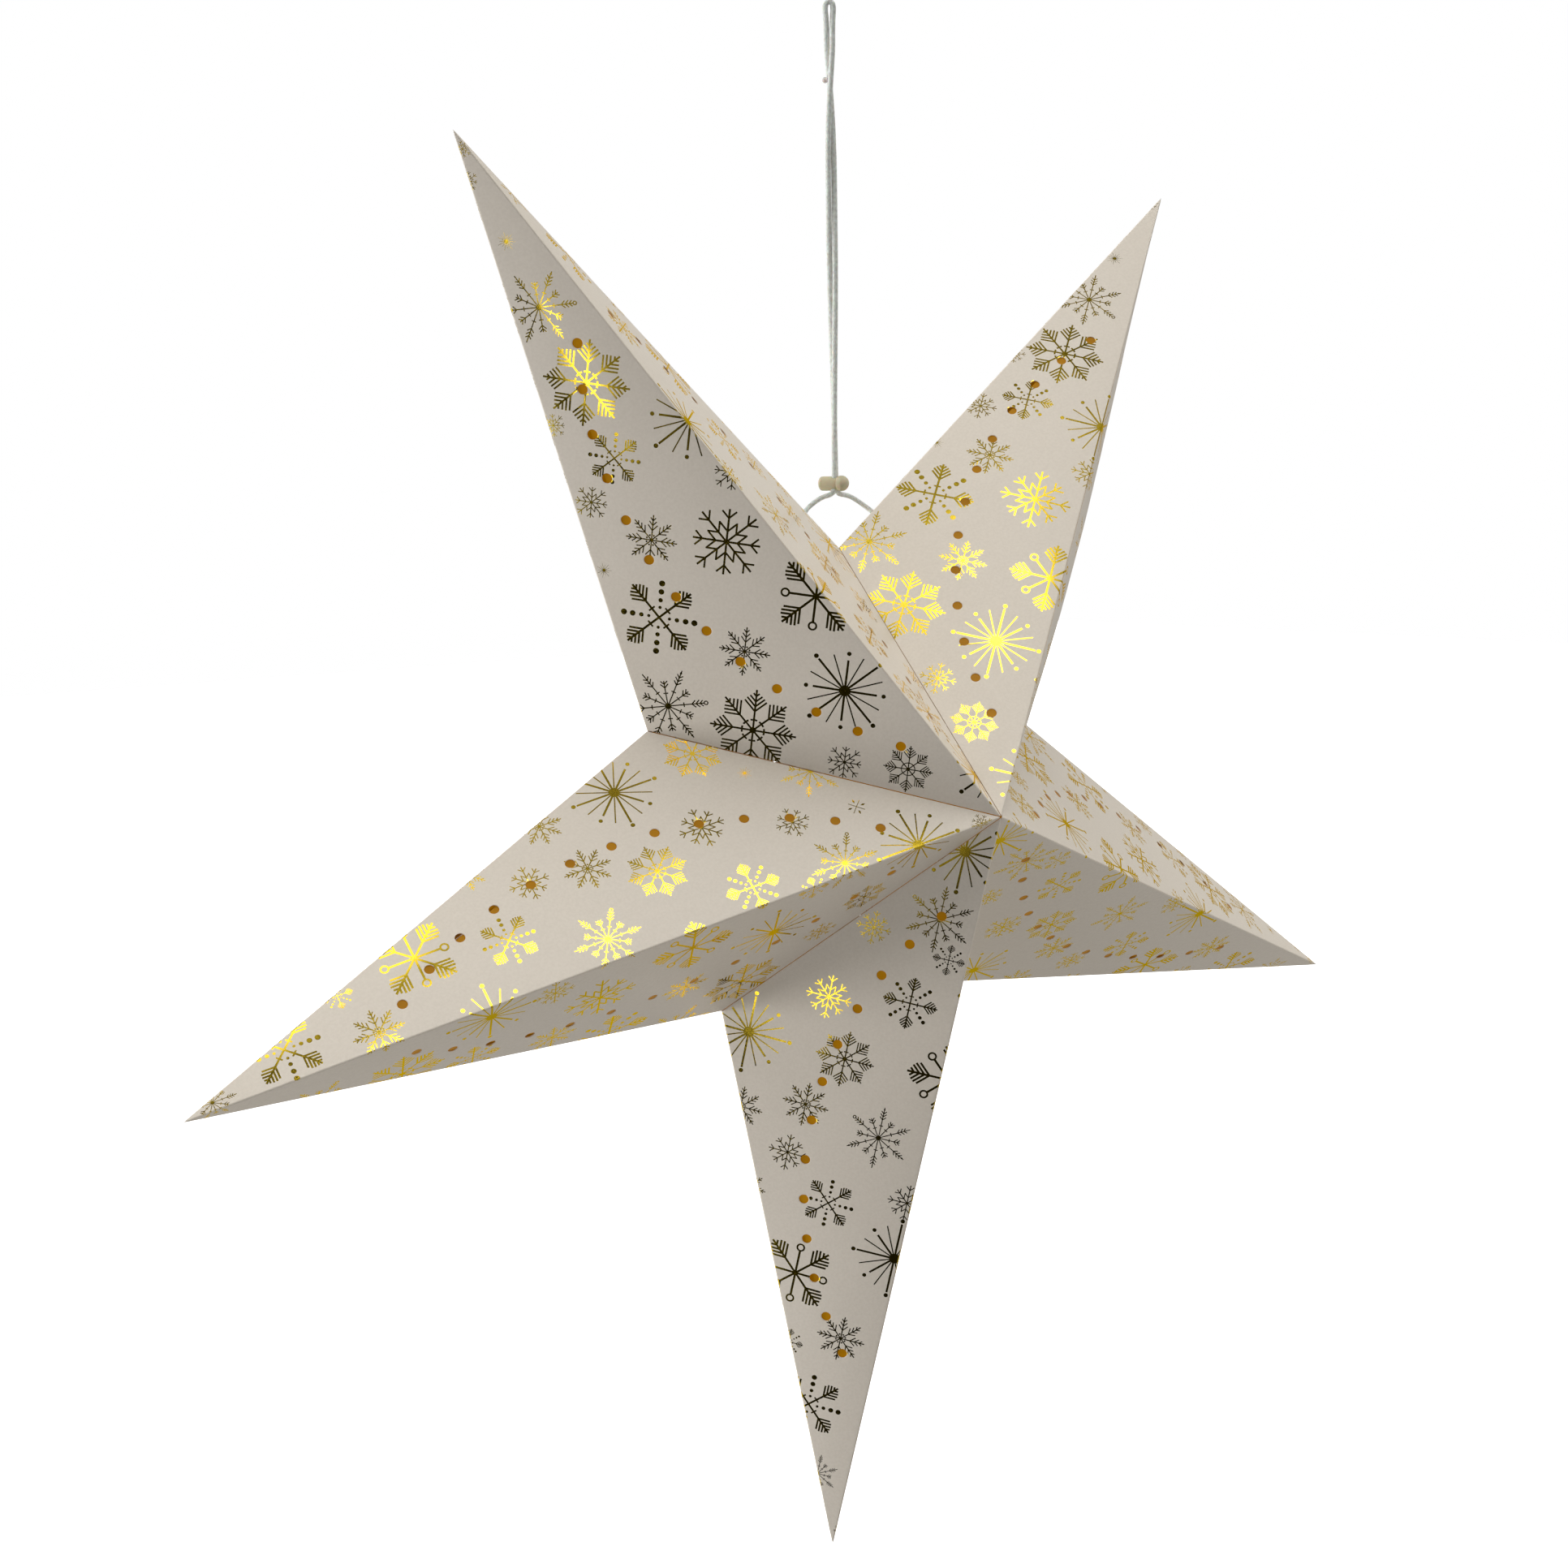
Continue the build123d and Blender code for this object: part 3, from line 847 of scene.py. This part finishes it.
def add_core():
    """The cord's own line: a smooth curve through the route, as thick as the braid's core."""
    curve = bpy.data.curves.new("cord_core", "CURVE")
    curve.dimensions = "3D"
    curve.resolution_u = 24
    spline = curve.splines.new("NURBS")
    spline.points.add(len(route) - 1)
    for point, place in zip(spline.points, route):
        point.co = (*(place * MM), 1.0)
    spline.order_u = 3
    spline.use_endpoint_u = True
    core = bpy.data.objects.new("cord_core", curve)
    scene.collection.objects.link(core)
    line = bpy.data.meshes.new_from_object(core)
    followed = [v.co.copy() for v in line.vertices]
    curve.bevel_depth = 0.84 * MM
    curve.bevel_resolution = 3
    curve.use_fill_caps = True
    curve.materials.append(core_fibre)
    return core, followed


def resample(points, spacing):
    """Points of equal spacing along a polyline."""
    lengths = [(b - a).length for a, b in zip(points, points[1:])]
    total = sum(lengths)
    count = int(total / spacing)
    result = []
    i, run = 0, 0.0
    for k in range(count + 1):
        target = total * k / count
        while i < len(lengths) - 1 and run + lengths[i] < target:
            run += lengths[i]
            i += 1
        share = min(1.0, (target - run) / lengths[i]) if lengths[i] > 0 else 0.0
        result.append(points[i].lerp(points[i + 1], share))
    return result


def frames_along(points):
    """Two directions across the line at each point, carried along without twist."""
    tangents = [(points[min(i + 1, len(points) - 1)] - points[max(i - 1, 0)]).normalized()
                for i in range(len(points))]
    side = tangents[0].orthogonal().normalized()
    result = []
    for tangent in tangents:
        side = (side - tangent * side.dot(tangent)).normalized()
        result.append((tangent, side, tangent.cross(side)))
    return result


# Section of a strand, as shares of its half-width and half-thickness: three yarns side by side.
YARNS = ((1.0, 0.0), (0.68, 0.86), (0.34, 0.58), (0.0, 1.0), (-0.34, 0.58), (-0.68, 0.86),
         (-1.0, 0.0), (0.0, -1.0))


def strand_along(centres, wide, thick, normals, sizes):
    """Rings of a flat strand: wide across the normal, thick along it, times each size."""
    verts = []
    faces = []
    last = len(centres) - 1
    sides = len(YARNS)
    for i, (centre, normal, size) in enumerate(zip(centres, normals, sizes)):
        tangent = (centres[min(i + 1, last)] - centres[max(i - 1, 0)]).normalized()
        across = tangent.cross(normal).normalized()
        above = across.cross(tangent)
        for u, v in YARNS:
            verts.append(centre + (across * (wide * u) + above * (thick * v)) * size)
    for i in range(last):
        for k in range(sides):
            a, b = i * sides + k, i * sides + (k + 1) % sides
            faces.append((a, b, b + sides, a + sides))
    faces.append(tuple(range(sides - 1, -1, -1)))
    faces.append(tuple(last * sides + k for k in range(sides)))
    return verts, faces


STRANDS_EACH_WAY = 4
LAY = 9.2 * MM                # one strand's turn round the cord takes this length
STEPS_PER_LAY = 24
TIGHT = 0.86


def drawn_tight(centre):
    """How thin the cord is drawn: less than 1 in the two branches that hold the star."""
    start, end = (PART_HEIGHT - 1.0) * MM, (PART_HEIGHT + 1.0) * MM
    share = min(1.0, max(0.0, (centre.z - start) / (end - start)))
    return TIGHT + (1 - TIGHT) * share


def braid_mesh(name, points, scale=1.0):
    """Strands plaited one over, one under, round a line."""
    centres = resample(points, LAY * scale / STEPS_PER_LAY)
    frames = frames_along(centres)
    sizes = [drawn_tight(centre) * scale * MM for centre in centres]
    verts = []
    faces = []
    for way in (-1, 1):
        for k in range(STRANDS_EACH_WAY):
            path = []
            outs = []
            for i, (centre, (tangent, side, other)) in enumerate(zip(centres, frames)):
                travel = 2 * pi * i / STEPS_PER_LAY
                angle = way * travel + 2 * pi * k / STRANDS_EACH_WAY
                weave = way * cos(STRANDS_EACH_WAY * travel)
                out = side * cos(angle) + other * sin(angle)
                path.append(centre + out * (0.83 + 0.07 * weave) * sizes[i])
                outs.append(out)
            more_verts, more_faces = strand_along(path, 0.62, 0.25, outs, sizes)
            base = len(verts)
            verts += more_verts
            faces += [tuple(base + v for v in f) for f in more_faces]
    mesh = bpy.data.meshes.new(name)
    mesh.from_pydata([tuple(v) for v in verts], [], faces)
    mesh.polygons.foreach_set("use_smooth", [True] * len(mesh.polygons))
    mesh.materials.append(braid_fibre)
    piece = bpy.data.objects.new(name, mesh)
    scene.collection.objects.link(piece)
    return piece


def add_knot(name, centre, outward, body, node):
    """An overhand knot drawn up tight, as a short braided length."""
    side = outward.orthogonal().normalized()
    other = outward.cross(side)
    line = []
    count = 96
    for i in range(count + 1):
        t = 2 * pi * i / count * 0.985
        x = sin(t) + 2 * sin(2 * t)
        y = cos(t) - 2 * cos(2 * t)
        z = -sin(3 * t)
        line.append((centre + side * x * 0.62 + other * y * 0.62 + outward * z * 1.35) * MM)
    piece = braid_mesh(name, line, 0.8)
    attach(piece, body)
    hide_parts(node)
    return piece


# ---- bead: a barrel and a ball on one axis, with a tight hole for the pair ----
BEAD_TURN = 20.0              # degrees that the bead's ball is turned to the front
BARREL_END = -6.65            # far end of the barrel, along the bead from the cord
BARREL_ROUNDING = 1.4
BALL_AT = 2.65                # centre of the ball, along the bead from the cord
GROOVE_RADIUS = 2.72          # at the bottom of the crease between the two
GROOVE_LIP = 0.4              # width of the barrel's slope into the crease
HOLE_ROOM = 0.05              # round the pair, in the bead's hole
BEAD_SIDES = 96
BEAD_STEPS = 12               # points of each rounding of the profile


def bead_profile():
    """Half section of the bead: (place along it, radius), from the barrel to the ball."""
    points = []
    for i in range(BEAD_STEPS + 1):
        a = pi / 2 * i / BEAD_STEPS
        points.append((BARREL_END + BARREL_ROUNDING * (1 - cos(a)),
                       BARREL_RADIUS - BARREL_ROUNDING * (1 - sin(a))))
    groove_at = BALL_AT - sqrt(BALL_RADIUS ** 2 - GROOVE_RADIUS ** 2)
    for share in (0.25, 0.5, 0.75, 1.0):
        x = points[BEAD_STEPS][0] * (1 - share) + (groove_at - GROOVE_LIP) * share
        points.append((x, BARREL_RADIUS))
    start = atan2(GROOVE_RADIUS, groove_at - BALL_AT)
    for i in range(3 * BEAD_STEPS):
        a = start * (1 - i / (3 * BEAD_STEPS))
        points.append((BALL_AT + BALL_RADIUS * cos(a), BALL_RADIUS * sin(a)))
    return points


def closed_mesh(name, rings, end=None):
    """Mesh of closed rings of points, with a cap on the first and a cap or a point last."""
    count = len(rings[0])
    verts = [tuple(p * MM) for ring in rings for p in ring]
    faces = [tuple(range(count - 1, -1, -1))]
    for i in range(len(rings) - 1):
        for k in range(count):
            a, b = i * count + k, i * count + (k + 1) % count
            faces.append((a, b, b + count, a + count))
    last = (len(rings) - 1) * count
    if end is None:
        faces.append(tuple(last + k for k in range(count)))
    else:
        verts.append(tuple(end * MM))
        faces += [(last + k, last + (k + 1) % count, len(verts) - 1) for k in range(count)]
    mesh = bpy.data.meshes.new(name)
    mesh.from_pydata(verts, [], faces)
    mesh.update()
    piece = bpy.data.objects.new(name, mesh)
    scene.collection.objects.link(piece)
    return piece


def add_bead():
    """The turned bead, bored through for the two strands."""
    a = radians(PAIR_TURN + BEAD_TURN)
    along, up = Vector((cos(a), -sin(a), 0)), Vector((0, 0, 1))
    across = up.cross(along)
    centre = strand(BEAD_HEIGHT, 0, 0, 1)
    rings = []
    for x, radius in bead_profile():
        turns = [2 * pi * k / BEAD_SIDES for k in range(BEAD_SIDES)]
        rings.append([centre + along * x + (across * cos(t) + up * sin(t)) * radius for t in turns])
    solid = closed_mesh("bead_solid", rings, centre + along * (BALL_AT + BALL_RADIUS))
    towards = strand(0, IN_BEAD[0][1], 1, 1)
    beside_it = up.cross(towards)
    half = CORD / 2 + HOLE_ROOM
    outline = []
    for k in range(BEAD_SIDES):
        t = 2 * pi * k / BEAD_SIDES
        shift = SQUEEZED if sin(t) > 0 else -SQUEEZED
        outline.append(centre + beside_it * (half * cos(t)) + towards * (half * sin(t) + shift))
    cutter = closed_mesh("bead_cutter", [[p - up * 6 for p in outline], [p + up * 6 for p in outline]])
    cut = solid.modifiers.new("bore", "BOOLEAN")
    cut.operation = "DIFFERENCE"
    cut.solver = "EXACT"
    cut.object = cutter
    bpy.context.view_layer.update()
    graph = bpy.context.evaluated_depsgraph_get()
    mesh = bpy.data.meshes.new_from_object(solid.evaluated_get(graph))
    bpy.data.objects.remove(cutter)
    bpy.data.objects.remove(solid)
    mesh.polygons.foreach_set("use_smooth", [True] * len(mesh.polygons))
    mesh.set_sharp_from_angle(angle=radians(35))
    mesh.materials.clear()
    mesh.materials.append(ivory)
    bead = bpy.data.objects.new("toggle_bead", mesh)
    scene.collection.objects.link(bead)
    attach(bead, "bead")
    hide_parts("cord_lock_bead")
    return bead


core, followed = add_core()
braid = braid_mesh("cord_braid", followed)
for piece in (core, braid):
    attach(piece, "hanger")
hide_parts("hanging_cord")
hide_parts("hanging_cord")
left_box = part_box("left_cord_knot")
right_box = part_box("right_cord_knot")
left_stop = add_knot("left_knot", (left_box[0] + left_box[1]) / 2 / MM, left_out,
                     node_body["left_cord_knot"], "left_cord_knot")
right_stop = add_knot("right_knot", (right_box[0] + right_box[1]) / 2 / MM, right_out,
                      node_body["right_cord_knot"], "right_cord_knot")
for material_slot in frame["nodes"]["loop_seal"].material_slots:
    material_slot.material = melt
bead = add_bead()


# ---- floor, studio and light ----
def add_floor():
    """Plain pale floor under the star; it lights nothing, so the foil shows the studio."""
    mesh = bpy.data.meshes.new("floor")
    size, height = 6.0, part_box("bottom_arm_front_cw_panel")[0].z - 0.12
    mesh.from_pydata([(-size, -size, height), (size, -size, height), (size, size, height),
                      (-size, size, height)], [], [(0, 1, 2, 3)])
    material, tree, shader = new_material("pale_floor")
    set_sockets(shader, Base_Color=(0.9, 0.9, 0.9), Emission_Color=(1.0, 1.0, 1.0),
                Emission_Strength=1.0, Roughness=0.9)
    mesh.materials.append(material)
    floor = bpy.data.objects.new("floor", mesh)
    scene.collection.objects.link(floor)
    floor.visible_glossy = False
    floor.visible_diffuse = False
    floor.visible_shadow = False


# Zones of the studio round the star, which the foil reflects. A group looks one way, in
# degrees round from the front towards the right, then up. Each zone of it has its offset
# right and up in degrees, the radius where it is full, the radius where it has faded out,
# its colour and its strength. A later zone lies over an earlier one.
WARM = (1.0, 0.97, 0.90)
COOL = (0.96, 0.99, 1.0)
BASE_LIGHT = ((1.0, 0.98, 0.94), 0.26)
ZONE_GROUPS = (
    ((118, 10), (((0, 0), 30, 60, WARM, 0.42), ((8, 1.5), 4, 8, WARM, 0.60))),
    ((115, -46), (((0, 0), 25, 45, WARM, 0.36), ((11, 0), 4, 9, WARM, 0.50))),
    ((-100, 5), (((0, 0), 25, 45, COOL, 0.35),)),
    ((-62, -32), (
        ((6, -8), 22, 34, WARM, 0.008),
        ((-24, -1), 11, 14.5, COOL, 1.6),
        ((0.5, 13), 6, 8.5, WARM, 0.22),
        ((-3.7, 5.2), 1.2, 2.2, WARM, 3.0))),
    ((-20, 73), (
        ((0, 0), 14, 30, WARM, 0.32),
        ((1, -1.5), 1.6, 4.6, WARM, 3.0),
        ((0.5, -6.5), 4.0, 8.0, WARM, 3.6),
        ((-3.4, -0.8), 1.2, 2.4, WARM, 3.0),
        ((2, 7), 2.0, 5.0, WARM, 0.15),
        ((-7.5, -2.5), 3, 5, WARM, 0.08),
        ((8, 5), 3, 6, WARM, 0.06),
        ((-8.5, 7.5), 3, 4.5, WARM, 1.9))),
)


def direction(az, el):
    """Unit vector: degrees round from the front towards the right, then up."""
    a, e = radians(az), radians(el)
    return Vector((sin(a) * cos(e), -cos(a) * cos(e), sin(e)))


def beside(az, el, right, up):
    """The direction that many degrees to the right of another, and up from it."""
    ahead = direction(az, el)
    across = Vector((cos(radians(az)), sin(radians(az)), 0))
    above = across.cross(-ahead)
    return (ahead + across * tan(radians(right)) + above * tan(radians(up))).normalized()


def build_world():
    """The studio that the star reflects, with plain white where the camera looks at it."""
    world = bpy.data.worlds.new("studio")
    scene.world = world
    world.use_nodes = True
    tree = world.node_tree
    tree.nodes.clear()
    place = tree.nodes.new("ShaderNodeTexCoord")
    colour, strength = BASE_LIGHT
    last = None
    for (az, el), zones in ZONE_GROUPS:
        for (right, up), full, fade, tint, power in zones:
            aim = tree.nodes.new("ShaderNodeVectorMath")
            aim.operation = "DOT_PRODUCT"
            aim.inputs[1].default_value = beside(az, el, right, up)
            tree.links.new(place.outputs["Generated"], aim.inputs[0])
            edge = tree.nodes.new("ShaderNodeMapRange")
            edge.interpolation_type = "SMOOTHSTEP"
            edge.inputs["From Min"].default_value = cos(radians(fade))
            edge.inputs["From Max"].default_value = cos(radians(full))
            tree.links.new(aim.outputs["Value"], edge.inputs["Value"])
            mix = tree.nodes.new("ShaderNodeMix")
            mix.data_type = "RGBA"
            if last is None:
                mix.inputs[6].default_value = (*[c * strength for c in colour], 1.0)
            else:
                tree.links.new(last, mix.inputs[6])
            mix.inputs[7].default_value = (*[c * power for c in tint], 1.0)
            tree.links.new(edge.outputs["Result"], mix.inputs[0])
            last = mix.outputs[2]
    studio = tree.nodes.new("ShaderNodeBackground")
    tree.links.new(last, studio.inputs["Color"])
    white = tree.nodes.new("ShaderNodeBackground")
    white.inputs["Color"].default_value = (1.0, 1.0, 1.0, 1.0)
    rays = tree.nodes.new("ShaderNodeLightPath")
    choose = tree.nodes.new("ShaderNodeMixShader")
    tree.links.new(rays.outputs["Is Camera Ray"], choose.inputs["Fac"])
    tree.links.new(studio.outputs["Background"], choose.inputs[1])
    tree.links.new(white.outputs["Background"], choose.inputs[2])
    output = tree.nodes.new("ShaderNodeOutputWorld")
    tree.links.new(choose.outputs["Shader"], output.inputs["Surface"])


# Soft lights that shape the card without showing in the foil: where from, angle, colour
# and strength.
SOFT_LIGHTS = (
    ((0, 90), 60, (1.0, 0.98, 0.90), 1.35),
    ((-128, -8), 25, (0.98, 0.97, 0.93), 2.6),
    ((-120, 45), 50, (0.95, 0.97, 1.0), 0.5),
    ((60, 45), 50, (0.9, 0.95, 1.0), 0.30),
    ((30, 5), 50, (1.0, 0.98, 0.9), 0.45),
    ((100, -50), 50, (1.0, 0.98, 0.9), 0.22),
)


# Soft boxes near the star, in metres: where, what they face, side and strength.
SOFT_BOXES = (
    ((0.47, -0.18, -0.72), (0.16, -0.03, -0.40), 0.30, 0.14),
    ((-0.34, 0.04, -0.66), (-0.19, -0.02, -0.40), 0.30, 0.10),
)


def add_soft_boxes():
    for i, (place, target, side, power) in enumerate(SOFT_BOXES):
        data = bpy.data.lights.new(f"box_{i}", "AREA")
        data.size = side
        data.color = WARM
        data.energy = power
        light = bpy.data.objects.new(f"box_{i}", data)
        scene.collection.objects.link(light)
        light.location = place
        light.rotation_euler = (Vector(place) - Vector(target)).to_track_quat("Z", "Y").to_euler()
        light.visible_glossy = False
        light.visible_camera = False


def add_soft_lights():
    for i, ((az, el), spread, tint, power) in enumerate(SOFT_LIGHTS):
        data = bpy.data.lights.new(f"soft_{i}", "SUN")
        data.angle = radians(spread)
        data.color = tint
        data.energy = power
        light = bpy.data.objects.new(f"soft_{i}", data)
        scene.collection.objects.link(light)
        light.rotation_euler = direction(az, el).to_track_quat("Z", "Y").to_euler()
        light.visible_glossy = False


add_floor()
build_world()
add_soft_lights()
add_soft_boxes()
scene.view_settings.view_transform = "Standard"
